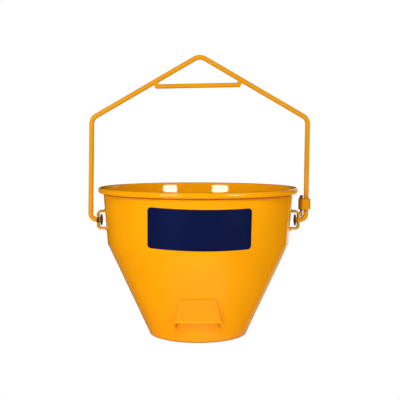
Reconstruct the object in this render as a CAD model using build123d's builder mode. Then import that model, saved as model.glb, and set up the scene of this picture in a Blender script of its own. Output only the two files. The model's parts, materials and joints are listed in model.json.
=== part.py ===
from build123d import *
from math import atan, cos, degrees, radians, sin, sqrt, tan
import os

# A 40 litre hoist bucket in painted steel sheet and bar.
# Origin at the middle of the base underside, Z up, front at -Y, lock side at +X.

# Sheet body
sheet_thickness = 2.0
base_radius = 118.0
base_thickness = 3.0
base_corner_radius = 2.5
break_radius = 219.2
break_height = 220.5
band_radius = 228.3
band_height = 335.0

# Rolled rim
rim_roll_radius = 7.0
rim_roll_height = 349.0
rim_roll_end_angle = -125.0

# Bead over the break between band and cone
seam_bead_reach = 4.5
seam_bead_rise = 0.9

# Beads up the back, where the rolled sheets close
back_bead_width = 7.0
back_bead_rise = 0.9
back_bead_bottom = 8.0
back_bead_top = 331.0

# Ear straps, flat bar bent to a U
strap_outer_x = 246.5
strap_width = 22.0
strap_thickness = 5.0
strap_half_height = 23.5
strap_bend_radius = 10.0
strap_edge_radius = 1.0
strap_weld_leg = 5.0
strap_weld_half_length = 10.0

# Bail, one round bar bent a little out of true towards the lock side
pivot_height = 275.5
bail_bar_radius = 6.0
bail_foot_x = 262.2
bail_left_shoulder_x = -257.6
bail_right_shoulder_x = 264.4
bail_shoulder_height = 521.0
bail_peak_x = 3.3
bail_peak_height = 671.7
bail_end_x = 233.0
foot_bend_radius = 15.0
shoulder_bend_radius = 22.0
peak_bend_radius = 27.0
pivot_clearance = 0.08

# Washers on the bail ends
washer_radius = 14.0
washer_thickness = 3.2
washer_inner_x = 234.2
washer_bead_width = 2.2
washer_chamfer = 1.0

# Cross bar below the peak
cross_bar_radius = 5.5
cross_bar_height = 600.0
cross_bar_tilt = 1.2
cross_bar_end_setback = 17.0
cross_bar_weld_radius = 6.8

# Lock on the right leg
collar_x = 258.6
collar_radius = 14.8
collar_bore_radius = 10.9
collar_bottom = 301.5
collar_length = 26.0
collar_chamfer = 0.8
pin_x = 251.2
pin_radius = 3.8
pin_bottom = 296.7
pin_top = 336.0
pin_chamfer = 0.8
pin_weld_radius = 3.6
fork_reach = 6.5
fork_gap = 8.2
fork_cheek_thickness = 5.4
fork_bottom = 284.5
fork_top_sweep_radius = 20.6
fork_edge_radius = 1.5

# Tip handle on the front of the cone
handle_sheet = 2.7
handle_seat_gap = 0.1
handle_top = 112.0
handle_top_half_width = 39.0
handle_flare_top = 84.0
handle_flare_steps = 4
handle_flare_power = 0.7
handle_lip_height = 59.0
handle_half_width = 53.0
handle_lip_reach = 161.5
handle_lip_bow = 0.4
handle_foot_height = 36.0
handle_foot_reach = 127.0
lip_radius = 3.2
lip_half_length = 52.0
lip_end_chamfer = 1.2
handle_weld_radius = 2.4
handle_weld_top = 109.0

# Sticker on the front of the band
label_width = 240.0
label_bottom = 227.0
label_top = 318.0
label_thickness = 0.5
label_corner_radius = 8.0
label_turn = 0.7

# Slopes of the sheet walls, outward per millimetre of height
cone_slope = (break_radius - base_radius) / break_height
band_slope = (band_radius - break_radius) / (band_height - break_height)
cone_wall = sheet_thickness / cos(atan(cone_slope))
band_wall = sheet_thickness / cos(atan(band_slope))


def band_outer(height):
    """Outer radius of the upper band at a height."""
    return break_radius + band_slope * (height - break_height)


def cone_outer(height):
    """Outer radius of the lower cone at a height."""
    return base_radius + cone_slope * height


def cut_away_band():
    """Cut the space filled by the upper band out of the part being built."""
    band_span = band_height - break_height
    with Locations((0, 0, break_height)):
        Cone(
            break_radius,
            band_radius,
            band_span,
            align=(Align.CENTER, Align.CENTER, Align.MIN),
            mode=Mode.SUBTRACT,
        )


def cut_away_cone():
    """Cut the space filled by the lower cone out of the part being built."""
    Cone(
        base_radius,
        break_radius,
        break_height,
        align=(Align.CENTER, Align.CENTER, Align.MIN),
        mode=Mode.SUBTRACT,
    )


# Upper band: a tapered wall that runs into an outward rolled rim
roll_lean = atan(band_slope)
roll_inner_radius = rim_roll_radius - sheet_thickness
roll_x = band_outer(rim_roll_height) - band_wall + rim_roll_radius / cos(roll_lean)
roll_start_angle = 180 - degrees(roll_lean)
roll_sweep = rim_roll_end_angle - roll_start_angle
with BuildPart() as upper_band:
    with BuildSketch(Plane.XZ):
        with BuildLine():
            outside = CenterArc((roll_x, rim_roll_height), rim_roll_radius, roll_start_angle, roll_sweep)
            inside = CenterArc((roll_x, rim_roll_height), roll_inner_radius, roll_start_angle, roll_sweep)
            Line(outside @ 1, inside @ 1)
            Polyline(
                outside @ 0,
                (break_radius - band_wall, break_height),
                (break_radius, break_height),
                inside @ 0,
            )
        make_face()
    revolve(axis=Axis.Z)

# Lower cone: a straight tapered wall standing on the base plate
with BuildPart() as lower_cone:
    with BuildSketch(Plane.XZ):
        with BuildLine():
            Polyline(
                (cone_outer(base_thickness) - cone_wall, base_thickness),
                (cone_outer(base_thickness), base_thickness),
                (break_radius, break_height),
                (break_radius - cone_wall, break_height),
                close=True,
            )
        make_face()
    revolve(axis=Axis.Z)

# Base plate: a disc with a rounded lower edge
with BuildPart() as base_plate:
    with BuildSketch(Plane.XZ) as base_profile:
        with BuildLine():
            Polyline(
                (0, 0),
                (base_radius, 0),
                (cone_outer(base_thickness), base_thickness),
                (0, base_thickness),
                close=True,
            )
        make_face()
        lower_edge = base_profile.vertices().group_by(Axis.Y)[0].sort_by(Axis.X)[-1]
        fillet(lower_edge, base_corner_radius)
    revolve(axis=Axis.Z)

# Seam weld: a low bead over the break between band and cone
seam_lean = (atan(band_slope) + atan(cone_slope)) / 2
with BuildPart() as seam_weld:
    with BuildSketch(Plane.XZ):
        with BuildLine():
            upper_toe = (band_outer(break_height + seam_bead_reach), break_height + seam_bead_reach)
            lower_toe = (cone_outer(break_height - seam_bead_reach), break_height - seam_bead_reach)
            crown = (
                break_radius + seam_bead_rise * cos(seam_lean),
                break_height - seam_bead_rise * sin(seam_lean),
            )
            ThreePointArc(upper_toe, crown, lower_toe)
            Polyline(lower_toe, (break_radius, break_height), upper_toe)
        make_face()
    revolve(axis=Axis.Z)

# Back welds: low beads up the back of the cone and of the band
back_bead_radius = (back_bead_width**2 / 4 + back_bead_rise**2) / (2 * back_bead_rise)
back_bead_depth = back_bead_radius - back_bead_rise
back_bead_runs = (
    (cone_outer, back_bead_bottom, break_height - seam_bead_reach),
    (band_outer, break_height + seam_bead_reach, back_bead_top),
)
with BuildPart() as back_welds:
    for outer_radius, low, high in back_bead_runs:
        foot = Vector(0, outer_radius(low), low)
        run = Vector(0, outer_radius(high), high) - foot
        outward = Vector(0, run.Z, -run.Y).normalized()
        with BuildSketch(Plane(origin=foot - outward * back_bead_depth, z_dir=run)):
            Circle(back_bead_radius)
        extrude(amount=run.length)
    cut_away_cone()
    cut_away_band()

# Right ear strap: flat bar bent to a U, its arms cut to the band
strap_top = pivot_height + strap_half_height
strap_bottom = pivot_height - strap_half_height
strap_root_x = break_radius - strap_thickness
strap_inner_x = strap_outer_x - strap_thickness
strap_inner_bend = strap_bend_radius - strap_thickness
with BuildPart() as right_strap:
    with BuildSketch(Plane.XZ):
        with BuildLine():
            FilletPolyline(
                (strap_root_x, strap_top),
                (strap_outer_x, strap_top),
                (strap_outer_x, strap_bottom),
                (strap_root_x, strap_bottom),
                radius=strap_bend_radius,
            )
            FilletPolyline(
                (strap_root_x, strap_top - strap_thickness),
                (strap_inner_x, strap_top - strap_thickness),
                (strap_inner_x, strap_bottom + strap_thickness),
                (strap_root_x, strap_bottom + strap_thickness),
                radius=strap_inner_bend,
            )
            Line((strap_root_x, strap_top), (strap_root_x, strap_top - strap_thickness))
            Line((strap_root_x, strap_bottom), (strap_root_x, strap_bottom + strap_thickness))
        make_face()
    extrude(amount=strap_width / 2, both=True)
    strap_sides = right_strap.edges().group_by(Axis.Y)
    fillet(strap_sides[0] + strap_sides[-1], strap_edge_radius)
    cut_away_band()
    with BuildSketch(Plane.YZ.offset(strap_inner_x)):
        with Locations((0, pivot_height)):
            Circle(bail_bar_radius + pivot_clearance)
    extrude(amount=strap_thickness, mode=Mode.SUBTRACT)

with BuildPart() as left_strap:
    mirror(right_strap.part, about=Plane.YZ)

# Strap welds: a fillet bead above the top arm and one below the bottom arm
with BuildPart() as right_strap_welds:
    with BuildSketch(Plane.XZ):
        for face_height, rise in ((strap_top, strap_weld_leg), (strap_bottom, -strap_weld_leg)):
            wall_x = band_outer(face_height)
            with BuildLine():
                bead = RadiusArc(
                    (wall_x + strap_weld_leg, face_height),
                    (band_outer(face_height + rise), face_height + rise),
                    2 * rise,
                )
                Polyline(
                    bead @ 1,
                    (strap_root_x, face_height + rise),
                    (strap_root_x, face_height),
                    bead @ 0,
                )
            make_face()
    extrude(amount=strap_weld_half_length, both=True)
    cut_away_band()

with BuildPart() as left_strap_welds:
    mirror(right_strap_welds.part, about=Plane.YZ)

# Lock fork: two cheeks on the right strap, their tops rounded about the pivot
fork_cheek_y = (fork_gap + fork_cheek_thickness) / 2
fork_top = pivot_height + fork_top_sweep_radius
fork_middle = (fork_bottom + fork_top) / 2
with BuildPart() as lock_fork:
    with BuildSketch(Plane.YZ.offset(strap_outer_x)):
        with Locations((-fork_cheek_y, fork_middle), (fork_cheek_y, fork_middle)):
            Rectangle(fork_cheek_thickness, fork_top - fork_bottom)
    extrude(amount=fork_reach)
    outer_corners = lock_fork.edges().filter_by(Axis.Z).group_by(Axis.X)[-1]
    fillet(outer_corners, fork_edge_radius)
    with BuildSketch(Plane.YZ.offset(strap_outer_x)):
        with Locations((0, pivot_height)):
            Circle(fork_top_sweep_radius)
    extrude(amount=fork_reach, mode=Mode.INTERSECT)

# Tip handle: a plate seated on the cone that flares out to a straight rounded lip
def handle_width(height):
    """Half width of the tip handle at a height."""
    drop = (handle_top - height) / (handle_top - handle_lip_height)
    return handle_top_half_width + drop * (handle_half_width - handle_top_half_width)


def handle_surface(height, sideways, depth):
    """Place of the handle's sheet at a height and a distance from the middle, at a depth behind its front."""
    seat = handle_seat_gap + (handle_sheet - depth) / cos(atan(cone_slope))
    rolled = sqrt((cone_outer(height) + seat) ** 2 - sideways**2)
    straight = handle_lip_reach - depth - handle_lip_bow * (sideways / handle_half_width) ** 2
    drop = max(0, handle_flare_top - height) / (handle_flare_top - handle_lip_height)
    flare = drop**handle_flare_power
    return -rolled * (1 - flare) - straight * flare


def handle_arc(height, depth):
    """Arc across the handle's sheet at a height and a depth behind its front."""
    half_width = handle_width(height)
    edge_y = handle_surface(height, half_width, depth)
    middle_y = handle_surface(height, 0, depth)
    return ThreePointArc((-half_width, edge_y), (0, middle_y), (half_width, edge_y))


handle_flare_step = (handle_flare_top - handle_lip_height) / handle_flare_steps
flare_heights = [handle_flare_top - step * handle_flare_step for step in range(handle_flare_steps + 1)]
with BuildPart() as handle_plate:
    for height in [handle_top] + flare_heights:
        with BuildSketch(Plane.XY.offset(height)):
            with BuildLine():
                front = handle_arc(height, 0)
                back = handle_arc(height, handle_sheet)
                Line(front @ 0, back @ 0)
                Line(front @ 1, back @ 1)
            make_face()
    loft(ruled=True)

cheek_half_width = handle_half_width - handle_sheet
cheek_front = [
    (handle_surface(height, handle_width(height), handle_sheet / 2), height) for height in flare_heights
]
with BuildPart() as handle_cheeks:
    with BuildSketch(Plane.YZ):
        with BuildLine():
            Polyline(
                *cheek_front,
                (-handle_foot_reach, handle_foot_height),
                (-base_radius, handle_foot_height),
                (-base_radius, handle_flare_top),
                close=True,
            )
        make_face()
    extrude(amount=handle_half_width, both=True)
    with BuildSketch(Plane.XZ):
        for side in (-1, 1):
            with BuildLine():
                Polyline(
                    (side * handle_width(handle_flare_top), handle_flare_top),
                    (side * handle_half_width, handle_lip_height),
                    (side * handle_half_width, handle_foot_height),
                    (side * cheek_half_width, handle_foot_height),
                    (side * cheek_half_width, handle_lip_height),
                    (side * (handle_width(handle_flare_top) - handle_sheet), handle_flare_top),
                    close=True,
                )
            make_face()
    extrude(amount=handle_lip_reach, mode=Mode.INTERSECT)
    cut_away_cone()

with BuildPart() as handle_lip:
    with BuildSketch(Plane.YZ):
        with Locations((handle_sheet / 2 - handle_lip_reach, handle_lip_height)):
            Circle(lip_radius)
    extrude(amount=lip_half_length, both=True)
    chamfer(handle_lip.edges().filter_by(GeomType.CIRCLE), lip_end_chamfer)

with BuildPart() as tip_handle:
    add(handle_plate.part)
    add(handle_cheeks.part)
    add(handle_lip.part)

# Handle weld: a bead up each flank of the plate
with BuildPart() as handle_weld:
    for side in (-1, 1):
        bead_ends = [
            Vector(
                side * handle_width(height),
                -sqrt(cone_outer(height) ** 2 - handle_width(height) ** 2),
                height,
            )
            for height in (handle_flare_top, handle_weld_top)
        ]
        run = bead_ends[1] - bead_ends[0]
        with BuildSketch(Plane(origin=bead_ends[0], z_dir=run)):
            Circle(handle_weld_radius)
        extrude(amount=run.length)
    cut_away_cone()
    add(tip_handle.part, mode=Mode.SUBTRACT)

# Label: a plain sticker on the front of the band, straight when unrolled
label_lean = atan(band_slope)


def label_corner(height):
    """Front view place of a sticker corner whose edge crosses the middle at a height."""
    slant = band_outer(height) / sin(label_lean)
    corner_slant = sqrt(slant**2 + (label_width / 2) ** 2)
    turn = atan(label_width / 2 / slant) / sin(label_lean)
    corner_x = corner_slant * sin(label_lean) * sin(turn)
    corner_height = height + (corner_slant - slant) * cos(label_lean)
    return corner_x, corner_height


label_shell_bottom = label_bottom - label_corner_radius
label_shell_top = label_top + label_corner_radius
top_corner_x, top_corner_height = label_corner(label_top)
low_corner_x, low_corner_height = label_corner(label_bottom)
with BuildPart() as label:
    with BuildSketch(Plane.XZ.rotated((0, label_turn, 0))) as label_outline:
        with BuildLine():
            ThreePointArc(
                (-top_corner_x, top_corner_height), (0, label_top), (top_corner_x, top_corner_height)
            )
            ThreePointArc(
                (-low_corner_x, low_corner_height), (0, label_bottom), (low_corner_x, low_corner_height)
            )
            Line((-top_corner_x, top_corner_height), (-low_corner_x, low_corner_height))
            Line((top_corner_x, top_corner_height), (low_corner_x, low_corner_height))
        make_face()
        fillet(label_outline.vertices(), label_corner_radius)
    extrude(amount=strap_outer_x)
    with BuildSketch(Plane.XZ):
        with BuildLine():
            Polyline(
                (band_outer(label_shell_bottom), label_shell_bottom),
                (band_outer(label_shell_bottom) + label_thickness, label_shell_bottom),
                (band_outer(label_shell_top) + label_thickness, label_shell_top),
                (band_outer(label_shell_top), label_shell_top),
                close=True,
            )
        make_face()
    revolve(axis=Axis.Z, mode=Mode.INTERSECT)

# Bail: one round bar from pivot to pivot
with BuildPart() as bail_rod:
    with BuildLine(Plane.XZ) as bail_path:
        FilletPolyline(
            (-bail_end_x, pivot_height),
            (-bail_foot_x, pivot_height),
            (bail_left_shoulder_x, bail_shoulder_height),
            (bail_peak_x, bail_peak_height),
            (bail_right_shoulder_x, bail_shoulder_height),
            (bail_foot_x, pivot_height),
            (bail_end_x, pivot_height),
            radius=(
                foot_bend_radius,
                shoulder_bend_radius,
                peak_bend_radius,
                shoulder_bend_radius,
                foot_bend_radius,
            ),
        )
    with BuildSketch(Plane(origin=bail_path.line @ 0, z_dir=bail_path.line % 0)):
        Circle(bail_bar_radius)
    sweep()

# Washers: discs welded on the bail ends inside the straps
with BuildPart() as right_washer:
    with BuildSketch(Plane.YZ.offset(washer_inner_x)):
        with Locations((0, pivot_height)):
            Circle(washer_radius)
            Circle(bail_bar_radius, mode=Mode.SUBTRACT)
    extrude(amount=washer_thickness)
    washer_rims = right_washer.edges().filter_by(GeomType.CIRCLE).group_by(SortBy.RADIUS)[-1]
    chamfer(washer_rims, washer_chamfer)

with BuildPart() as left_washer:
    mirror(right_washer.part, about=Plane.YZ)

# Washer welds: a ring bead around each bail end
pivot_axis = Axis((0, 0, pivot_height), (1, 0, 0))
bar_top = pivot_height + bail_bar_radius
with BuildPart() as washer_welds:
    with BuildSketch(Plane.XZ):
        with BuildLine():
            Polyline(
                (washer_inner_x, bar_top),
                (washer_inner_x, bar_top + washer_bead_width),
                (bail_end_x, bar_top),
                close=True,
            )
        make_face()
    revolve(axis=pivot_axis)
    mirror(about=Plane.YZ)

# Cross bar: a straight bar under the peak, its ends cut square to the slants
tilt_slope = tan(radians(cross_bar_tilt))
peak = Vector(bail_peak_x, 0, bail_peak_height)


def slant_place(side, setback, drop):
    """Point and direction on a slant, back from the cross bar's axis and dropped below the slant's axis."""
    shoulder_x = bail_right_shoulder_x if side > 0 else bail_left_shoulder_x
    away = (Vector(shoulder_x, 0, bail_shoulder_height) - peak).normalized()
    below = Vector(side * away.Z, 0, -side * away.X)
    height_over_bar = peak.Z - cross_bar_height - tilt_slope * peak.X
    along = height_over_bar / (tilt_slope * away.X - away.Z) - setback
    return peak + away * along + below * drop, away


with BuildPart() as cross_bar:
    with BuildSketch(Plane(origin=(0, 0, cross_bar_height), z_dir=(1, 0, tilt_slope))):
        Circle(cross_bar_radius)
    extrude(amount=bail_foot_x / 2, both=True)
    for side in (-1, 1):
        cut_point, cut_direction = slant_place(side, cross_bar_end_setback, 0)
        split(bisect_by=Plane(origin=cut_point, z_dir=-cut_direction), keep=Keep.TOP)
    add(bail_rod.part, mode=Mode.SUBTRACT)

# Cross bar welds: a lump in the corner at each end of the cross bar
cross_bar_weld_setback = cross_bar_end_setback + cross_bar_weld_radius
with BuildPart() as cross_bar_welds:
    for side in (-1, 1):
        weld_point, weld_direction = slant_place(side, cross_bar_weld_setback, bail_bar_radius)
        with Locations(weld_point):
            Sphere(cross_bar_weld_radius)
    add(bail_rod.part, mode=Mode.SUBTRACT)
    add(cross_bar.part, mode=Mode.SUBTRACT)

# Lock pin: a small round bar that drops between the fork cheeks
with BuildPart() as lock_pin:
    with BuildSketch(Plane.XY.offset(pin_bottom)):
        with Locations((pin_x, 0)):
            Circle(pin_radius)
    extrude(amount=pin_top - pin_bottom)
    chamfer(lock_pin.edges().filter_by(GeomType.CIRCLE), pin_chamfer)

# Lock collar: a short tube around the right leg, grooved for the pin
collar_top = collar_bottom + collar_length
with BuildPart() as lock_collar:
    with BuildSketch(Plane.XY.offset(collar_bottom)):
        with Locations((collar_x, 0)):
            Circle(collar_radius)
            Circle(collar_bore_radius, mode=Mode.SUBTRACT)
    extrude(amount=collar_length)
    collar_rims = lock_collar.edges().filter_by(GeomType.CIRCLE).group_by(SortBy.RADIUS)[-1]
    chamfer(collar_rims, collar_chamfer)
    add(lock_pin.part, mode=Mode.SUBTRACT)

# Pin weld: a bead between the pin and the collar's top
with BuildPart() as pin_weld:
    with Locations((collar_x - collar_bore_radius, 0, collar_top)):
        Sphere(pin_weld_radius)
    add(lock_collar.part, mode=Mode.SUBTRACT)
    add(lock_pin.part, mode=Mode.SUBTRACT)

pieces = {
    "upper_band": upper_band,
    "lower_cone": lower_cone,
    "base_plate": base_plate,
    "seam_weld": seam_weld,
    "back_welds": back_welds,
    "left_strap": left_strap,
    "right_strap": right_strap,
    "left_strap_welds": left_strap_welds,
    "right_strap_welds": right_strap_welds,
    "lock_fork": lock_fork,
    "tip_handle": tip_handle,
    "handle_weld": handle_weld,
    "label": label,
    "bail_rod": bail_rod,
    "cross_bar": cross_bar,
    "cross_bar_welds": cross_bar_welds,
    "left_washer": left_washer,
    "right_washer": right_washer,
    "washer_welds": washer_welds,
    "lock_collar": lock_collar,
    "lock_pin": lock_pin,
    "pin_weld": pin_weld,
}
os.makedirs("parts", exist_ok=True)
for piece_name, piece in pieces.items():
    piece.part.label = piece_name
    export_step(piece.part, f"parts/{piece_name}.step")
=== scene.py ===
import json
import math

import bmesh
import bpy
from mathutils import Matrix, Vector


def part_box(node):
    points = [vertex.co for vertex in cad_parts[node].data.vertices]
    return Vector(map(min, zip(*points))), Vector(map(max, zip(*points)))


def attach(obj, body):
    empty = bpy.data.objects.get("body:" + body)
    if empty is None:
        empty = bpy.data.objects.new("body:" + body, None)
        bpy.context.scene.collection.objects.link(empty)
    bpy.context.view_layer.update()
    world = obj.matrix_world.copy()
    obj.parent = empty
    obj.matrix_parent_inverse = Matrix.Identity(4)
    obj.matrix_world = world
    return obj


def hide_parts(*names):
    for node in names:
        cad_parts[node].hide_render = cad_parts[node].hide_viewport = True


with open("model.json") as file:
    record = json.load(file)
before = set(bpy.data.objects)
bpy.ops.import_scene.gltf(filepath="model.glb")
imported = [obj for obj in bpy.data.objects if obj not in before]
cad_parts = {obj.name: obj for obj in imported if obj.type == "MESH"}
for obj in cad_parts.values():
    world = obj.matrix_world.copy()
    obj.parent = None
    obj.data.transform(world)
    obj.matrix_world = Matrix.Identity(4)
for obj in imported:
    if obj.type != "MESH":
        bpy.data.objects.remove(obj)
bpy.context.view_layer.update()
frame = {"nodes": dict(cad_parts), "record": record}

nodes = frame["nodes"]

# Camera, fitted to the photograph
CAMERA_PLACE = Vector((0.0041, -1.9, 0.4535))
CAMERA_PITCH = math.radians(3.909)
CAMERA_ROLL = math.radians(-0.096)
CAMERA_LENS = 70.363
SENSOR_WIDTH = 36.0

# Walls of the bucket
BASE_RADIUS = 0.118
BAND_RADIUS = 0.2283
BAND_HEIGHT = 0.335
RIM_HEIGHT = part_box("upper_band")[1].z
PIVOT_HEIGHT = 0.2755
BREAK_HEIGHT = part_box("lower_cone")[1].z
BREAK_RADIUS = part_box("lower_cone")[1].x
CONE_SLOPE = (BREAK_RADIUS - BASE_RADIUS) / BREAK_HEIGHT
BAND_SLOPE = (BAND_RADIUS - BREAK_RADIUS) / (BAND_HEIGHT - BREAK_HEIGHT)

# Weld beads
MERGE = 1e-6
DROP_PITCH = 0.0035
DROP_DIP = 0.00015
BOLD_DIP = 0.0003
LOW_DIP = 0.00006
SEAM_REACH = 0.0045
SEAM_ROUND = 0.013
SEAM_DEPTH = 0.00078
SEAM_PROUD = 0.00005
BACK_PROUD = 0.0005
STRAP_BEAD = 0.0029
STRAP_RISE = 0.0013
HANDLE_BEAD = 0.0024
CROSS_BEAD = 0.0056
WASHER_BEAD = 0.0016
PIN_BEAD = 0.0032
END_SHARE = 0.15
FLANK_ASIDE = 0.9
FLANK_DOWN = 0.3
CROSS_UP = 0.2
CROSS_SHARE = 0.9
PIN_BACK = 0.4
PIN_SHARE = 0.8
WHOLE = 1.0
END_ROUND = 3
BEAD_POINTS = 12
STRAP_POINTS = 24
SEAM_POINTS = 72
BEAD_SMOOTH = math.radians(60)

# Tip handle
HANDLE_EDGE = 0.0006
HANDLE_TOP = 0.0022
HANDLE_FLAT = math.radians(1)
HANDLE_SHARP = math.radians(42)
BEVEL_STEPS = 2
TOP_STEPS = 3
TOP_CLOSE = 0.0001

# Floor and surroundings
FLOOR_SIZE = 60
FLOOR_DROP = 0.0004
FLOOR_TONE = (0.8, 0.8, 0.8, 1)
FLOOR_LIGHT = 0.42
CONTACT_REACH = 0.004
AMBIENT = 0.364

# Lamps and bright panels
LEFT_PLACE = (-1.16, -2.03, 0.61)
LEFT_AIM = (0.03, 0.11, 0.3)
LEFT_SIZE = (0.88, 0.5)
LEFT_LIGHT = 8.0
LEFT_PANEL = 30.0
RIGHT_PLACE = (1.49, -1.82, 0.61)
RIGHT_AIM = (-0.04, 0.11, 0.3)
RIGHT_SIZE = (0.78, 0.5)
RIGHT_PANEL = 30.0
HIGH_PLACE = (0, -2.2, 1.7)
HIGH_AIM = (0, 0, 0.2)
HIGH_SIZE = (0.8, 0.3)
HIGH_LIGHT = 40.4
SIDE_OUT = 0.45
SIDE_BACK = 0.3
SIDE_HEIGHT = 0.004
SIDE_SIZE = (0.5, 0.6)
LEFT_SIDE = 0.6
RIGHT_SIDE = 2.2
EDGE_PLACE = (0.55, 0.76, 0.4)
EDGE_AIM = (0.2, 0, 0.4)
EDGE_SIZE = (0.34, 0.8)
EDGE_PANEL = 1.0

# Floor and walls as the bucket reflects them
LEFT_EDGE = 0.08
RIGHT_EDGE = 0.28
EDGE_START = 0.165
EDGE_SLOPE = 1.2
EDGE_SOFT = 0.04
EDGE_FAR = 1.0
WALL_REACH = 3.0
DOWNWARD = -0.5
POOL_MIDDLE = (0, -0.3, 0)
POOL_CLEAR = 0.12
POOL_DARK = 0.22
POOL_TINT = 0.7
DARK = (0.02, 0.02, 0.02, 1)


def band_outer(height):
    """Outer radius of the upper band at a height."""
    return BREAK_RADIUS + BAND_SLOPE * (height - BREAK_HEIGHT)


def cone_outer(height):
    """Outer radius of the lower cone at a height."""
    return BASE_RADIUS + CONE_SLOPE * height


def half_places(node, side):
    """Places of the points of a node on one side of the middle."""
    return [v.co for v in nodes[node].data.vertices if v.co.x * side > 0]


def half_box(node, side):
    """Lowest and highest corners of the half of a node that is on one side of the middle."""
    places = half_places(node, side)
    low = Vector(min(p[k] for p in places) for k in range(3))
    high = Vector(max(p[k] for p in places) for k in range(3))
    return low, high


def middle_of(places):
    """The mean of some places."""
    return sum(places, Vector()) / len(places)


class Field:
    """A shader value that may change over a surface. Arithmetic on it adds Math nodes."""

    def __init__(self, tree, socket):
        self.tree = tree
        self.socket = socket

    def math(self, operation, *values):
        """One Math node on some values or links."""
        node = self.tree.nodes.new("ShaderNodeMath")
        node.operation = operation
        for place, value in enumerate(values):
            if isinstance(value, Field):
                self.tree.links.new(value.socket, node.inputs[place])
            else:
                node.inputs[place].default_value = value
        return Field(self.tree, node.outputs[0])

    def __add__(self, other):
        return self.math("ADD", self, other)

    __radd__ = __add__

    def __sub__(self, other):
        return self.math("SUBTRACT", self, other)

    def __rsub__(self, other):
        return self.math("SUBTRACT", other, self)

    def __mul__(self, other):
        return self.math("MULTIPLY", self, other)

    __rmul__ = __mul__

    def between(self, low, high):
        """A smooth step from 0 at low to 1 at high."""
        node = self.tree.nodes.new("ShaderNodeMapRange")
        node.interpolation_type = "SMOOTHSTEP"
        self.tree.links.new(self.socket, node.inputs["Value"])
        node.inputs["From Min"].default_value = low
        node.inputs["From Max"].default_value = high
        return Field(self.tree, node.outputs["Result"])

    def most(self, other):
        """The larger of two values."""
        return self.math("MAXIMUM", self, other)


class Finish:
    """One material and its nodes."""

    def __init__(self, name):
        self.material = bpy.data.materials.new(name)
        self.material.use_nodes = True
        self.tree = self.material.node_tree
        self.tree.nodes.clear()

    def node(self, kind, settings=None, output=0, **sockets):
        """Adds a node: its settings first, then its sockets' values or links. Gives one output."""
        made = self.tree.nodes.new("ShaderNode" + kind)
        for key, value in (settings or {}).items():
            setattr(made, key, value)
        for key, value in sockets.items():
            socket = made.inputs[int(key[1:]) if key[1:].isdigit() else key.replace("_", " ")]
            if isinstance(value, Field):
                self.tree.links.new(value.socket, socket)
            else:
                socket.default_value = value
        return Field(self.tree, made.outputs[output]) if made.outputs else None

    def place(self):
        """Object coordinates."""
        return self.node("TexCoord", output="Object")

    def axis(self, place, letter):
        """One coordinate of a place."""
        return self.node("SeparateXYZ", output=letter, Vector=place)

    def noise(self, place, scale, detail):
        """A cloudy pattern from 0 to 1."""
        return self.node("TexNoise", Vector=place, Scale=scale, Detail=detail)

    def shelter(self, reach):
        """How far a spot is shut in by what stands within reach of it, from 0 to 1."""
        return 1 - self.node("AmbientOcclusion", {"samples": SHELTER_SAMPLES}, output="AO", Distance=reach)

    def mix(self, factor, first, second):
        """A colour between two others."""
        return self.node("Mix", {"data_type": "RGBA"}, output=2, s0=factor, s6=first, s7=second)

    def surface(self, shader):
        """Ends the material with a shader."""
        self.node("OutputMaterial", Surface=shader)
        return self.material


# Finishes
PAINT_DEEP = (0.905, 0.342, 0.001, 1)
PAINT_LIGHT = (0.935, 0.366, 0.002, 1)
# The bail's paint: the body's orange made darker as painted shade, with a little painted sheen in its green
# and blue
BAIL_SHADED_DEEP = (0.68, 0.285, 0.010, 1)
BAIL_SHADED_LIGHT = (0.74, 0.315, 0.012, 1)
STRAP_DEEP = (0.50, 0.28, 0.02, 1)
STRAP_LIGHT = (0.58, 0.34, 0.03, 1)
STRAP_WARM = (0.77, 0.41, 0.065, 1)
COLLAR_DEEP = (0.68, 0.262, 0.004, 1)
COLLAR_LIGHT = (0.74, 0.290, 0.005, 1)
# The tip handle's paint: the body's orange made a little darker as painted shade
HANDLE_SHADED_DEEP = (0.89, 0.312, 0.008, 1)
HANDLE_SHADED_LIGHT = (0.92, 0.334, 0.009, 1)
# Painted highlight on the tip handle's lip
LIP_HIGHLIGHT = (0.985, 0.40, 0.012, 1)
# Painted shade for corners and creases
CORNER_SHADE_TONE = (0.20, 0.065, 0.002, 1)
# Painted shade under the rolled rim
CREASE_SHADE = (0.42, 0.11, 0.001, 1)
# Painted light on the inside of the bucket
INNER_LIT = (0.955, 0.40, 0.002, 1)
RIM_DULL = (0.62, 0.24, 0.004, 1)
# Painted shade along the bottom edge
BASE_SHADE = (0.42, 0.16, 0.004, 1)
# Painted shadow, near black, for the left strap's pivot and the fork's outer edge
DEEP_SHADE = (0.022, 0.006, 0.003, 1)
# Painted shade on the collar
COLLAR_SHADE_TONE = (0.20, 0.09, 0.005, 1)
WORN_STEEL = (0.15, 0.07, 0.03, 1)
BROWN_STEEL = (0.075, 0.022, 0.012, 1)
DULL_STEEL = (0.17, 0.09, 0.045, 1)
NAVY_DEEP = (0.0015, 0.0045, 0.037, 1)
NAVY_LIGHT = (0.003, 0.007, 0.047, 1)
NAVY_EDGE = (0.001, 0.0015, 0.006, 1)
BORDER = 0.003
PAINT_IOR = 1.4
COLLAR_IOR = 1.18
DULL_IOR = 1.15
MATT_IOR = 1.0
CREASE_LOW = 0.3383
CREASE_HIGH = 0.3424
CREASE_FADE = 0.001
SHEET = 0.002
STRAP_BAR = 0.005
STRAP_FADE = 0.001

# Roughness of the coats, and how much more of it a mark adds
BODY_ROUGH = 0.06
STRAP_ROUGH = 0.4
FORK_ROUGH = 0.2
HANDLE_ROUGH = 0.5
BAIL_ROUGH = 0.3
COLLAR_ROUGH = 0.12
STEEL_ROUGH = 0.4
FILM_ROUGH = 0.3
MATT_NONE = 0.0
MATT_SOME = 0.1
MATT_MORE = 0.2
MATT_MOST = 0.3

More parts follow.
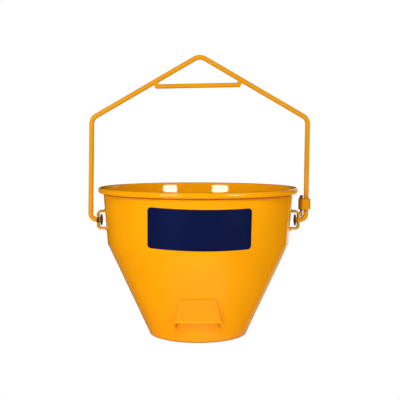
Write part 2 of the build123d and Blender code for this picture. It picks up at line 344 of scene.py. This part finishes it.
# Cloudy patterns, each with its scale and its detail
DRIFT = (7.0, 3.0)
PEEL = (420.0, 2.0)
MOTTLE = (60.0, 5.0)
CHIPS = (260.0, 4.0)
PIVOT_SHADOW_MOTTLE = (300.0, 3.0)
STEEL_STAIN = (160.0, 4.0)
PAINT_MIST = (90.0, 3.0)
FILM_GRAIN = (60.0, 3.0)
FILM_WEAVE = (900.0, 1.0)

# Enamel
SHELTER_SAMPLES = 8
DRIFT_LOW = 0.3
DRIFT_HIGH = 0.7
DRIFT_ROUGH = 0.05
# Painted shade in corners: its reach, where it starts and is full, its least share, how much a noise
# mottles it and how much rougher it makes the paint
CORNER_SHADE_REACH = 0.010
CORNER_SHADE_START = 0.2
CORNER_SHADE_FULL = 0.8
CORNER_SHADE_LEAST = 0.1
CORNER_SHADE_MOTTLE = 0.1
CORNER_SHADE_ROUGH = 0.1
PEEL_STRENGTH = 0.02
PEEL_HEIGHT = 0.0003

# Marks: where they start, where they are full and how much they cover
CHIP_START = 0.65
CHIP_FULL = 0.71
CHIP_COVER = 0.7
BASE_WEAR_START = 0.003
BASE_SHADE_START = 0.0036
BASE_SHADE_FULL = 0.0022
BASE_SHADE_COVER = 0.9
RIM_TOP_START = 0.0018
RIM_TOP_FULL = 0.0006
RIM_TOP_COVER = 0.6
INNER_START = SHEET * 0.25
INNER_FULL = SHEET * 0.75
PEAK_WEAR_START = 0.652
PEAK_WEAR_FULL = 0.664
END_WEAR_START = 0.248
END_WEAR_FULL = 0.244
END_WEAR_TOP = 0.29
END_WEAR_LOW = 0.28
PIVOT_SHADOW_LEAST = 0.8
PIVOT_SHADOW_SPREAD = 0.2
PIVOT_SHADOW_START = 0.0064
PIVOT_SHADOW_FULL = 0.0054
PIVOT_SHADOW_IN = -0.2395
PIVOT_SHADOW_OUT = -0.2415
STRAP_FOOT_COVER = 0.9
FORK_EDGE_START = 0.2505
FORK_EDGE_FULL = 0.2515
COLLAR_SHADE_SHARE = 0.3
COLLAR_SHADE_START = 0.002
COLLAR_SHADE_FULL = 0.005
COLLAR_SHADE_COVER = 0.75
LIP_TOP = 0.0630
LIP_TOP_FULL = 0.0622
LIP_FOOT = 0.0550
LIP_FOOT_FULL = 0.0556
LIP_START = -0.1555
LIP_FULL = -0.1568
LIP_WEAR_FULL = 0.061
LIP_WEAR_COVER = 0.5

# Bare steel and film
STAIN_LOW = 0.35
STAIN_HIGH = 0.65
STAIN_ROUGH = 0.25
STAIN_STRENGTH = 0.3
STAIN_HEIGHT = 0.0003
STEEL_METAL = 0.5
MIST_START = 0.62
MIST_FULL = 0.75
MIST_COVER = 0.6
GRAIN_ROUGH = 0.1
WEAVE_STRENGTH = 0.03
WEAVE_HEIGHT = 0.0002


def enamel(name, deep, light, base_rough, ior, marks):
    """Enamel on steel: slow drift of tone, orange peel, painted shade in corners, and marks of other
    colours.
    """
    f = Finish(name)
    place = f.place()
    drift = f.noise(place, *DRIFT)
    peel = f.noise(place, *PEEL)
    mottle = f.noise(place, *MOTTLE)
    # Painted shade: darker where a spot is shut in, mottled by a noise, and a little rougher there
    corners = f.shelter(CORNER_SHADE_REACH).between(CORNER_SHADE_START, CORNER_SHADE_FULL)
    corner_shade = corners * (CORNER_SHADE_LEAST + CORNER_SHADE_MOTTLE * mottle)
    tone = f.mix(drift.between(DRIFT_LOW, DRIFT_HIGH), deep, light)
    tone = f.mix(corner_shade, tone, CORNER_SHADE_TONE)
    rough = base_rough + DRIFT_ROUGH * drift + CORNER_SHADE_ROUGH * corner_shade
    for mark, colour, matt in marks:
        spots = mark(f, place)
        tone = f.mix(spots, tone, colour)
        rough = rough + matt * spots
    bump = f.node("Bump", Strength=PEEL_STRENGTH, Distance=PEEL_HEIGHT, Height=peel)
    shader = f.node("BsdfPrincipled", Base_Color=tone, Roughness=rough, IOR=ior, Normal=bump)
    return f.surface(shader)


def chips(f, place):
    """Small scattered spots where paint has come off."""
    return CHIP_COVER * f.noise(place, *CHIPS).between(CHIP_START, CHIP_FULL)


def base_wear(f, place):
    """The edge that the bucket is set down on."""
    return chips(f, place) * f.axis(place, "Z").between(BASE_WEAR_START, 0.0)


def base_edge_shade(f, place):
    """Painted shade: the dark line along the bottom edge, where it meets the floor."""
    return BASE_SHADE_COVER * f.axis(place, "Z").between(BASE_SHADE_START, BASE_SHADE_FULL)


def from_axis(f, place):
    """Distance from the bucket's axis."""
    flat = f.node("VectorMath", {"operation": "MULTIPLY"}, output="Vector", s0=place, s1=(1, 1, 0))
    return f.node("VectorMath", {"operation": "LENGTH"}, output="Value", s0=flat)


def rim_crease_shade(f, place):
    """Painted shade: the dark line in the crease under the rolled rim, outside only."""
    height = f.axis(place, "Z")
    outside = from_axis(f, place).between(BAND_RADIUS - SHEET / 2, BAND_RADIUS)
    above = height.between(CREASE_LOW, CREASE_LOW + CREASE_FADE)
    below = height.between(CREASE_HIGH, CREASE_HIGH - CREASE_FADE)
    return above * below * outside


def rim_top(f, place):
    """The top of the rolled rim, darker and a little rougher."""
    height = f.axis(place, "Z")
    return RIM_TOP_COVER * height.between(RIM_HEIGHT - RIM_TOP_START, RIM_HEIGHT - RIM_TOP_FULL)


def lit_inner_wall(f, place):
    """Painted light: the inside of the bucket, in a lighter and yellower tone of the paint."""
    height = f.axis(place, "Z")
    band = BAND_SLOPE * height + band_outer(0)
    cone = CONE_SLOPE * height + cone_outer(0)
    depth = band.math("MINIMUM", band, cone) - from_axis(f, place)
    return depth.between(INNER_START, INNER_FULL)


def bail_wear(f, place):
    """Where the bail is worn: under the hook peak and at the holes of the straps."""
    sideways = f.axis(place, "X")
    height = f.axis(place, "Z")
    peak = height.between(PEAK_WEAR_START, PEAK_WEAR_FULL)
    ends = sideways.math("ABSOLUTE", sideways).between(END_WEAR_START, END_WEAR_FULL)
    low = height.between(END_WEAR_TOP, END_WEAR_LOW)
    return chips(f, place) * peak.most(ends * low)


def pivot_shadow(f, place):
    """Painted shadow on the left strap where the bail's end turns, blotched by a noise."""
    away = f.axis(place, "Z") - PIVOT_HEIGHT
    blotches = PIVOT_SHADOW_LEAST + PIVOT_SHADOW_SPREAD * f.noise(place, *PIVOT_SHADOW_MOTTLE)
    around = away.math("ABSOLUTE", away).between(PIVOT_SHADOW_START, PIVOT_SHADOW_FULL)
    return blotches * around * f.axis(place, "X").between(PIVOT_SHADOW_IN, PIVOT_SHADOW_OUT)


def strap_foot(f, place):
    """The lower arms of the straps, in a lighter and warmer tone."""
    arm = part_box("left_strap")[0].z + STRAP_BAR
    return STRAP_FOOT_COVER * f.axis(place, "Z").between(arm + STRAP_FADE, arm)


def fork_edge_shade(f, place):
    """Painted shade at the fork's outer edge."""
    return f.axis(place, "X").between(FORK_EDGE_START, FORK_EDGE_FULL)


def collar_shade(f, place):
    """Painted shade on the side of the collar that faces the bucket."""
    low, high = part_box("lock_collar")
    edge = low.x + (high.x - low.x) * COLLAR_SHADE_SHARE
    return COLLAR_SHADE_COVER * f.axis(place, "X").between(edge + COLLAR_SHADE_START, edge - COLLAR_SHADE_FULL)


def lip_highlight(f, place):
    """Painted highlight along the rounded lip of the tip handle."""
    height = f.axis(place, "Z")
    round_edge = height.between(LIP_TOP, LIP_TOP_FULL) * height.between(LIP_FOOT, LIP_FOOT_FULL)
    return round_edge * f.axis(place, "Y").between(LIP_START, LIP_FULL)


def lip_wear(f, place):
    """Where fingers grip the tip handle's lip."""
    return LIP_WEAR_COVER * chips(f, place) * f.axis(place, "Z").between(LIP_TOP, LIP_WEAR_FULL)


def bare_steel():
    """Dark brown steel with some paint mist on it."""
    f = Finish("bare_steel")
    place = f.place()
    blotches = f.noise(place, *STEEL_STAIN)
    mist = f.noise(place, *PAINT_MIST).between(MIST_START, MIST_FULL)
    tone = f.mix(blotches.between(STAIN_LOW, STAIN_HIGH), BROWN_STEEL, DULL_STEEL)
    tone = f.mix(MIST_COVER * mist, tone, BAIL_SHADED_DEEP)
    bump = f.node("Bump", Strength=STAIN_STRENGTH, Distance=STAIN_HEIGHT, Height=blotches)
    shader = f.node(
        "BsdfPrincipled",
        Base_Color=tone,
        Metallic=STEEL_METAL - STEEL_METAL * mist,
        Roughness=STEEL_ROUGH + STAIN_ROUGH * blotches,
        Normal=bump,
    )
    return f.surface(shader)


def label_border(f, place):
    """The dark edge all round the label."""
    low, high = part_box("label")
    sideways = f.axis(place, "X")
    height = f.axis(place, "Z")
    sides = sideways.between(low.x + BORDER, low.x).most(sideways.between(high.x - BORDER, high.x))
    ends = height.between(low.z + BORDER, low.z).most(height.between(high.z - BORDER, high.z))
    return sides.most(ends)


def label_film():
    """Plain navy film with a fine grain."""
    f = Finish("label_film")
    place = f.place()
    grain = f.noise(place, *FILM_GRAIN)
    weave = f.noise(place, *FILM_WEAVE)
    tone = f.mix(grain, NAVY_DEEP, NAVY_LIGHT)
    tone = f.mix(label_border(f, place), tone, NAVY_EDGE)
    bump = f.node("Bump", Strength=WEAVE_STRENGTH, Distance=WEAVE_HEIGHT, Height=weave)
    rough = FILM_ROUGH + GRAIN_ROUGH * grain
    shader = f.node("BsdfPrincipled", Base_Color=tone, Roughness=rough, IOR=DULL_IOR, Normal=bump)
    return f.surface(shader)


BODY_MARKS = (
    (lit_inner_wall, INNER_LIT, MATT_NONE),
    (rim_top, RIM_DULL, MATT_SOME),
    (rim_crease_shade, CREASE_SHADE, MATT_MOST),
    (base_edge_shade, BASE_SHADE, MATT_MORE),
    (base_wear, WORN_STEEL, MATT_MOST),
)
HANDLE_MARKS = ((lip_highlight, LIP_HIGHLIGHT, MATT_NONE), (lip_wear, WORN_STEEL, MATT_MORE))
STRAP_MARKS = ((strap_foot, STRAP_WARM, MATT_NONE), (pivot_shadow, DEEP_SHADE, MATT_MOST))
FORK_MARKS = ((fork_edge_shade, DEEP_SHADE, MATT_MOST),)
BAIL_MARKS = ((bail_wear, WORN_STEEL, MATT_MORE),)
COLLAR_MARKS = ((collar_shade, COLLAR_SHADE_TONE, MATT_MORE),)
body_paint = enamel("body_paint", PAINT_DEEP, PAINT_LIGHT, BODY_ROUGH, PAINT_IOR, BODY_MARKS)
strap_paint = enamel("strap_paint", STRAP_DEEP, STRAP_LIGHT, STRAP_ROUGH, DULL_IOR, STRAP_MARKS)
# The fork takes the bail's tones, with their painted shade and sheen
fork_paint = enamel("fork_paint", BAIL_SHADED_DEEP, BAIL_SHADED_LIGHT, FORK_ROUGH, PAINT_IOR, FORK_MARKS)
shaded_handle_paint = enamel("shaded_handle_paint", HANDLE_SHADED_DEEP, HANDLE_SHADED_LIGHT, HANDLE_ROUGH, DULL_IOR, HANDLE_MARKS)
bail_paint = enamel("bail_paint", BAIL_SHADED_DEEP, BAIL_SHADED_LIGHT, BAIL_ROUGH, MATT_IOR, BAIL_MARKS)
collar_paint = enamel("collar_paint", COLLAR_DEEP, COLLAR_LIGHT, COLLAR_ROUGH, COLLAR_IOR, COLLAR_MARKS)
steel = bare_steel()
film = label_film()
BODIES = {n: body for body, names in frame["record"]["behaviour"]["bodies"].items() for n in names}
SLOTS = {part["node"]: part["material_slot"] for part in frame["record"]["subparts"]}
COATS = {"bucket": body_paint, "bail": bail_paint, "collar": collar_paint}
OWN_COATS = {
    "left_strap": strap_paint,
    "right_strap": strap_paint,
    "left_strap_welds": strap_paint,
    "right_strap_welds": strap_paint,
    "lock_fork": fork_paint,
    "tip_handle": shaded_handle_paint,
}


def finish_of(node):
    """The material of a node, by its slot, its body and the coats of a few nodes."""
    if SLOTS[node] == "bare_steel":
        return steel
    if SLOTS[node] == "label_film":
        return film
    return OWN_COATS.get(node, COATS[BODIES[node]])


for name, node in nodes.items():
    node.material_slots[0].material = finish_of(name)


# Modelling by hand
def choose(piece, test):
    """Selects the points of the piece being edited whose place passes a test."""
    bpy.ops.mesh.select_mode(type="VERT")
    points = bmesh.from_edit_mesh(piece.data)
    for vertex in points.verts:
        vertex.select_set(bool(test(vertex.co)))
    points.select_flush_mode()
    bmesh.update_edit_mesh(piece.data)


def section(crown, outward, along, radius, depth, points):
    """Starts a weld bead in edit mode: a circle across its run, cut off flat at a depth under its crown."""
    turn = Matrix((outward, along.cross(outward), along)).transposed()
    bpy.ops.object.select_all(action="DESELECT")
    bpy.ops.mesh.primitive_circle_add(
        vertices=points,
        radius=radius,
        location=crown - outward * radius,
        rotation=turn.to_euler(),
    )
    piece = bpy.context.object
    bpy.ops.object.transform_apply(location=True, rotation=True, scale=True)
    bpy.ops.object.mode_set(mode="EDIT")
    if depth < 2 * radius:
        choose(piece, lambda place: (crown - place).dot(outward) > depth)
        bpy.ops.mesh.delete(type="VERT")
        left = [(crown - vertex.co).dot(outward) for vertex in bmesh.from_edit_mesh(piece.data).verts]
        choose(piece, lambda place: (crown - place).dot(outward) > max(left) - MERGE)
        bpy.ops.mesh.edge_face_add()
    bpy.ops.mesh.select_all(action="SELECT")
    return piece


def close_up():
    """Merges doubles, turns the faces outwards and leaves edit mode with smooth shading."""
    bpy.ops.mesh.select_all(action="SELECT")
    bpy.ops.mesh.remove_doubles(threshold=MERGE)
    bpy.ops.mesh.normals_make_consistent(inside=False)
    bpy.ops.object.mode_set(mode="OBJECT")
    bpy.ops.object.shade_smooth_by_angle(angle=BEAD_SMOOTH)


def bead(start, end, outward, radius, depth=WHOLE, points=BEAD_POINTS, dip=DROP_DIP):
    """A straight weld bead with its crown from start to end, a ripple for each drop and rounded ends."""
    run = end - start
    along = run.normalized()
    outward = (outward - along * outward.dot(along)).normalized()
    piece = section(start, outward, along, radius, depth, points)
    bpy.ops.mesh.edge_face_add()
    bpy.ops.mesh.extrude_region_move(TRANSFORM_OT_translate={"value": run})
    steps = 2 * max(2, round(run.length / DROP_PITCH))
    bpy.ops.mesh.select_mode(type="EDGE")
    points_now = bmesh.from_edit_mesh(piece.data)
    for edge in points_now.edges:
        first, second = edge.verts
        edge.select_set(abs((first.co - second.co).dot(along)) > run.length / 2)
    bmesh.update_edit_mesh(piece.data)
    bpy.ops.mesh.subdivide(number_cuts=steps - 1)

    def ring(place):
        return round((place - start).dot(along) / run.length * steps)

    bpy.ops.mesh.select_all(action="SELECT")
    bpy.ops.mesh.normals_make_consistent(inside=False)
    choose(piece, lambda place: ring(place) % 2 == 0)
    bpy.ops.transform.shrink_fatten(value=-dip)
    choose(piece, lambda place: ring(place) in (0, steps))
    bpy.ops.transform.shrink_fatten(value=-min(radius, depth) / END_ROUND)
    close_up()
    return piece


def ring_bead(crown, outward, centre, axis, radius, depth=WHOLE, points=BEAD_POINTS, dip=DROP_DIP):
    """A weld bead around an axis with its crown through one point, with a ripple for each drop."""
    spoke = crown - centre
    spoke = (spoke - axis * spoke.dot(axis)).normalized()
    along = axis.cross(spoke)
    piece = section(crown, outward, along, radius, depth, points)
    reach = (crown - centre).dot(spoke)
    steps = 2 * round(math.pi * 2 * reach / DROP_PITCH)
    bpy.ops.mesh.spin(steps=steps, angle=2 * math.pi, center=centre, axis=axis)

    def ring(place):
        turn = math.atan2((place - centre).dot(along), (place - centre).dot(spoke))
        return round(turn / (2 * math.pi) * steps)

    bpy.ops.mesh.select_all(action="SELECT")
    bpy.ops.mesh.remove_doubles(threshold=MERGE)
    bpy.ops.mesh.normals_make_consistent(inside=False)
    choose(piece, lambda place: ring(place) % 2 == 0)
    bpy.ops.transform.shrink_fatten(value=-dip)
    close_up()
    return piece


def stand_in(pieces, name, node):
    """Joins pieces to one that shows in a node's place, with its body, slot and finish."""
    bpy.ops.object.select_all(action="DESELECT")
    for piece in pieces:
        piece.select_set(True)
    whole = pieces[0]
    bpy.context.view_layer.objects.active = whole
    if len(pieces) > 1:
        bpy.ops.object.join()
    whole.name = name
    whole.data.name = name
    whole.data.materials.clear()
    whole.data.materials.append(finish_of(node))
    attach(whole, BODIES[node])
    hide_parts(node)


def eased_copy(node, width, soft_edge, soft_width):
    """A copy of a node with its sharp edges eased, and those that pass a test more than the others."""
    bpy.ops.object.select_all(action="DESELECT")
    piece = bpy.data.objects.new(node + "_copy", nodes[node].data.copy())
    bpy.context.scene.collection.objects.link(piece)
    piece.select_set(True)
    bpy.context.view_layer.objects.active = piece
    bpy.ops.mesh.customdata_custom_splitnormals_clear()
    bpy.ops.object.mode_set(mode="EDIT")
    bpy.ops.mesh.select_all(action="SELECT")
    bpy.ops.mesh.remove_doubles(threshold=MERGE)
    bpy.ops.mesh.dissolve_limited(angle_limit=HANDLE_FLAT)
    choose(piece, soft_edge)
    bpy.ops.mesh.bevel(offset=soft_width, segments=TOP_STEPS, affect="EDGES")
    bpy.ops.object.mode_set(mode="OBJECT")
    edges = piece.modifiers.new("edges", "BEVEL")
    edges.width = width
    edges.segments = BEVEL_STEPS
    edges.limit_method = "ANGLE"
    edges.angle_limit = HANDLE_SHARP
    bpy.ops.object.modifier_apply(modifier="edges")
    bpy.ops.object.shade_smooth_by_angle(angle=HANDLE_SHARP)
    return piece


# Seam: a low bead that rounds the break between band and cone
seam_lean = (math.atan(BAND_SLOPE) + math.atan(CONE_SLOPE)) / 2
seam_out = Vector((math.cos(seam_lean), 0, -math.sin(seam_lean)))
seam = ring_bead(
    crown=Vector((BREAK_RADIUS, 0, BREAK_HEIGHT)) + seam_out * SEAM_PROUD,
    outward=seam_out,
    centre=Vector((0, 0, BREAK_HEIGHT)),
    axis=Vector((0, 0, 1)),
    radius=SEAM_ROUND,
    depth=SEAM_DEPTH,
    points=SEAM_POINTS,
    dip=LOW_DIP,
)
stand_in([seam], "seam_bead", "seam_weld")

# Back seams: low beads up the back of the cone and of the band
back_low, back_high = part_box("back_welds")
back_beads = []
for outer, low, high in (
    (cone_outer, back_low.z, BREAK_HEIGHT - SEAM_REACH),
    (band_outer, BREAK_HEIGHT + SEAM_REACH, back_high.z),
):
    foot = Vector((0, outer(low), low))
    top = Vector((0, outer(high), high))
    out = Vector((0, top.z - foot.z, foot.y - top.y)).normalized()
    rise = out * BACK_PROUD
    weld = bead(foot + rise, top + rise, out, SEAM_ROUND, SEAM_DEPTH, SEAM_POINTS, LOW_DIP)
    back_beads.append(weld)
stand_in(back_beads, "back_beads", "back_welds")

# Strap welds: a fillet bead above and below the arms of each strap
for side, word in ((-1, "left"), (1, "right")):
    low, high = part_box(word + "_strap")
    beads = []
    for height, up in ((high.z, 1), (low.z, -1)):
        corner = Vector((side * band_outer(height), 0, height))
        out = Vector((side, 0, up)).normalized()
        depth = STRAP_BEAD + STRAP_RISE
        crown = corner + out * depth
        reach = Vector((0, high.y, 0))
        weld = bead(crown - reach, crown + reach, out, STRAP_BEAD, depth, STRAP_POINTS, BOLD_DIP)
        beads.append(weld)
    stand_in(beads, word + "_strap_beads", word + "_strap_welds")

# Handle welds: a bead up each flank of the tip handle
flank_beads = []
for side in (-1, 1):
    low, high = half_box("handle_weld", side)
    run = (high.z - low.z) * END_SHARE
    places = half_places("handle_weld", side)
    foot = middle_of([p for p in places if p.z < low.z + run])
    top = middle_of([p for p in places if p.z > high.z - run])
    out = Vector((side * FLANK_ASIDE, -1, -FLANK_DOWN)).normalized()
    flank_beads.append(bead(foot + out * HANDLE_BEAD, top + out * HANDLE_BEAD, out, HANDLE_BEAD))
stand_in(flank_beads, "handle_beads", "handle_weld")

# Cross bar welds: a lump across the corner at each end of the cross bar
lumps = []
for side in (-1, 1):
    low, high = half_box("cross_bar_welds", side)
    middle = (low + high) / 2
    out = Vector((-side, 0, CROSS_UP)).normalized()
    crown = middle + out * CROSS_BEAD * CROSS_SHARE
    reach = Vector((0, CROSS_BEAD, 0))
    lumps.append(bead(crown - reach, crown + reach, out, CROSS_BEAD, dip=BOLD_DIP))
stand_in(lumps, "cross_bar_beads", "cross_bar_welds")

# Washer welds: a ring bead around each end of the bail
rings = []
for side in (-1, 1):
    low, high = half_box("washer_welds", side)
    pivot = Vector((side * (abs(low.x) + abs(high.x)) / 2, 0, (low.z + high.z) / 2))
    out = Vector((-side, 0, 1)).normalized()
    crown = Vector((side * min(abs(low.x), abs(high.x)), 0, high.z - WASHER_BEAD))
    rings.append(ring_bead(crown, out, pivot, Vector((1, 0, 0)), WASHER_BEAD))
stand_in(rings, "washer_beads", "washer_welds")

# Pin weld: a short bead between the lock pin and the collar's top
pin_low, pin_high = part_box("pin_weld")
pin_middle = Vector((pin_low.x + PIN_BEAD, 0, pin_high.z))
pin_reach = Vector((0, PIN_BEAD * PIN_SHARE, 0))
pin_out = Vector((-PIN_BACK, 0, 1)).normalized()
pin_bead = bead(pin_middle - pin_reach, pin_middle + pin_reach, pin_out, PIN_BEAD, dip=BOLD_DIP)
stand_in([pin_bead], "pin_bead", "pin_weld")

# Tip handle: the folded plate with eased edges
handle_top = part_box("tip_handle")[1].z


def outer_top(place):
    """The outer edge at the top of the tip handle's plate."""
    proud = math.hypot(place.x, place.y) - cone_outer(handle_top)
    return place.z > handle_top - TOP_CLOSE and proud > HANDLE_TOP / 2


sheet = eased_copy("tip_handle", HANDLE_EDGE, outer_top, HANDLE_TOP)
stand_in([sheet], "tip_handle_sheet", "tip_handle")


# Studio
def seen_rays(tree):
    """1 where the eye, a reflection or a view through glass looks, 0 for light on the object."""
    path = tree.nodes.new("ShaderNodeLightPath")
    seen = Field(tree, path.outputs["Is Camera Ray"])
    seen = seen.most(Field(tree, path.outputs["Is Glossy Ray"]))
    return seen.most(Field(tree, path.outputs["Is Transmission Ray"]))


def pale_floor():
    """White floor that keeps the shadow under the bucket."""
    f = Finish("pale_floor")
    white = f.node("BsdfDiffuse", Color=FLOOR_TONE)
    open_sky = 1 - f.shelter(CONTACT_REACH)
    lit = f.node("AddShader", s0=white, s1=f.node("Emission", Strength=FLOOR_LIGHT))
    glow = f.node("Emission", Strength=1.0)
    return f.surface(f.node("MixShader", s0=seen_rays(f.tree) * open_sky, s1=lit, s2=glow))


bpy.ops.object.select_all(action="DESELECT")
bpy.ops.mesh.primitive_plane_add(size=FLOOR_SIZE, location=(0, 0, -FLOOR_DROP))
floor = bpy.context.object
floor.name = "floor"
floor.data.materials.append(pale_floor())
floor.data.materials[0].cycles.emission_sampling = "NONE"

# Light from all around
world = bpy.data.worlds.new("studio")
bpy.context.scene.world = world
world.use_nodes = True
tree = world.node_tree
tree.nodes.clear()
strength = AMBIENT + (1 - AMBIENT) * seen_rays(tree)
background = tree.nodes.new("ShaderNodeBackground")
background.inputs["Color"].default_value = (1, 1, 1, 1)
tree.links.new(strength.socket, background.inputs["Strength"])
output = tree.nodes.new("ShaderNodeOutputWorld")
tree.links.new(background.outputs[0], output.inputs["Surface"])


def softbox(name, place, aim, width, height, radiance):
    """A rectangular lamp at a place, facing a point."""
    lamp = bpy.data.lights.new(name, "AREA")
    lamp.shape = "RECTANGLE"
    lamp.size = width
    lamp.size_y = height
    lamp.energy = radiance * math.pi * width * height
    stand = bpy.data.objects.new(name, lamp)
    bpy.context.scene.collection.objects.link(stand)
    stand.location = place
    stand.rotation_euler = (Vector(aim) - Vector(place)).to_track_quat("-Z", "Y").to_euler()
    return stand


def light_only(lamp):
    """A lamp that lights the object and leaves no image in it."""
    lamp.visible_glossy = False


light_only(softbox("left_light", LEFT_PLACE, LEFT_AIM, *LEFT_SIZE, LEFT_LIGHT))
light_only(softbox("high_light", HIGH_PLACE, HIGH_AIM, *HIGH_SIZE, HIGH_LIGHT))
for side, name, radiance in ((-1, "left_side", LEFT_SIDE), (1, "right_side", RIGHT_SIDE)):
    foot = (side * SIDE_OUT, SIDE_BACK, SIDE_HEIGHT)
    above = (side * SIDE_OUT, SIDE_BACK, 1)
    lamp = softbox(name, foot, above, *SIDE_SIZE, radiance)
    lamp.visible_camera = False
    light_only(lamp)


def image_card(card, name, material):
    """Leaves a card to reflections alone."""
    card.name = name
    card.visible_camera = False
    card.visible_diffuse = False
    card.visible_shadow = False
    card.data.materials.append(material)


def glow(name, radiance):
    """A bright card's surface, which is no lamp."""
    f = Finish(name)
    f.surface(f.node("Emission", Strength=radiance))
    f.material.cycles.emission_sampling = "NONE"
    return f.material


def panel(name, place, aim, width, height, radiance):
    """A bright card that faces a point and shows only in reflections."""
    turn = (Vector(aim) - Vector(place)).to_track_quat("Z", "Y").to_euler()
    bpy.ops.object.select_all(action="DESELECT")
    bpy.ops.mesh.primitive_plane_add(size=1, location=place, rotation=turn)
    card = bpy.context.object
    card.scale = (width, height, 1)
    bpy.ops.object.transform_apply(location=False, rotation=False, scale=True)
    image_card(card, name, glow(name, radiance))


def dark_room():
    """Dark walls and ceiling around the studio."""
    f = Finish("dark_room")
    return f.surface(f.node("BsdfDiffuse", Color=DARK))


def floor_shade():
    """A dark card on the floor that leaves a soft pool of white in front of the bucket, and some behind."""
    f = Finish("floor_shade")
    place = f.place()
    across = f.axis(place, "X")
    along = f.axis(place, "Y")
    away = f.node("VectorMath", {"operation": "DISTANCE"}, output="Value", s0=place, s1=POOL_MIDDLE)
    clear = f.node("BsdfTransparent")
    shade = f.node("BsdfDiffuse", Color=DARK)
    cover = POOL_TINT + (1 - POOL_TINT) * away.between(POOL_CLEAR, POOL_DARK)
    behind = along - EDGE_SLOPE * (across.math("ABSOLUTE", across) - EDGE_START)
    behind = behind.between(-EDGE_SOFT, EDGE_SOFT) * along.between(EDGE_FAR, EDGE_FAR - EDGE_SOFT)
    share = LEFT_EDGE + (RIGHT_EDGE - LEFT_EDGE) * across.between(-EDGE_SOFT, EDGE_SOFT)
    return f.surface(f.node("MixShader", s0=cover - share * behind, s1=clear, s2=shade))


# Dark room and floor for reflections
bpy.ops.object.select_all(action="DESELECT")
bpy.ops.mesh.primitive_cube_add(size=2 * WALL_REACH, location=(0, 0, WALL_REACH))
room = bpy.context.object
bpy.ops.object.mode_set(mode="EDIT")
bpy.ops.mesh.select_mode(type="FACE")
walls = bmesh.from_edit_mesh(room.data)
for face in walls.faces:
    face.select_set(face.normal.z < DOWNWARD)
bmesh.update_edit_mesh(room.data)
bpy.ops.mesh.delete(type="FACE")
bpy.ops.object.mode_set(mode="OBJECT")
image_card(room, "dark_room", dark_room())

bpy.ops.object.select_all(action="DESELECT")
bpy.ops.mesh.primitive_plane_add(size=2 * WALL_REACH, location=(0, 0, 0))
image_card(bpy.context.object, "floor_shade", floor_shade())

# Bright panels for reflections
panel("left_panel", LEFT_PLACE, LEFT_AIM, *LEFT_SIZE, LEFT_PANEL)
panel("right_panel", RIGHT_PLACE, RIGHT_AIM, *RIGHT_SIZE, RIGHT_PANEL)
panel("edge_panel", EDGE_PLACE, EDGE_AIM, *EDGE_SIZE, EDGE_PANEL)

# Camera
camera_data = bpy.data.cameras.new("camera")
camera_data.lens = CAMERA_LENS
camera_data.sensor_width = SENSOR_WIDTH
camera = bpy.data.objects.new("camera", camera_data)
bpy.context.scene.collection.objects.link(camera)
camera.location = CAMERA_PLACE
camera.rotation_euler = (math.pi / 2 - CAMERA_PITCH, CAMERA_ROLL, 0)
bpy.context.scene.camera = camera

bpy.context.scene.view_settings.view_transform = "Standard"
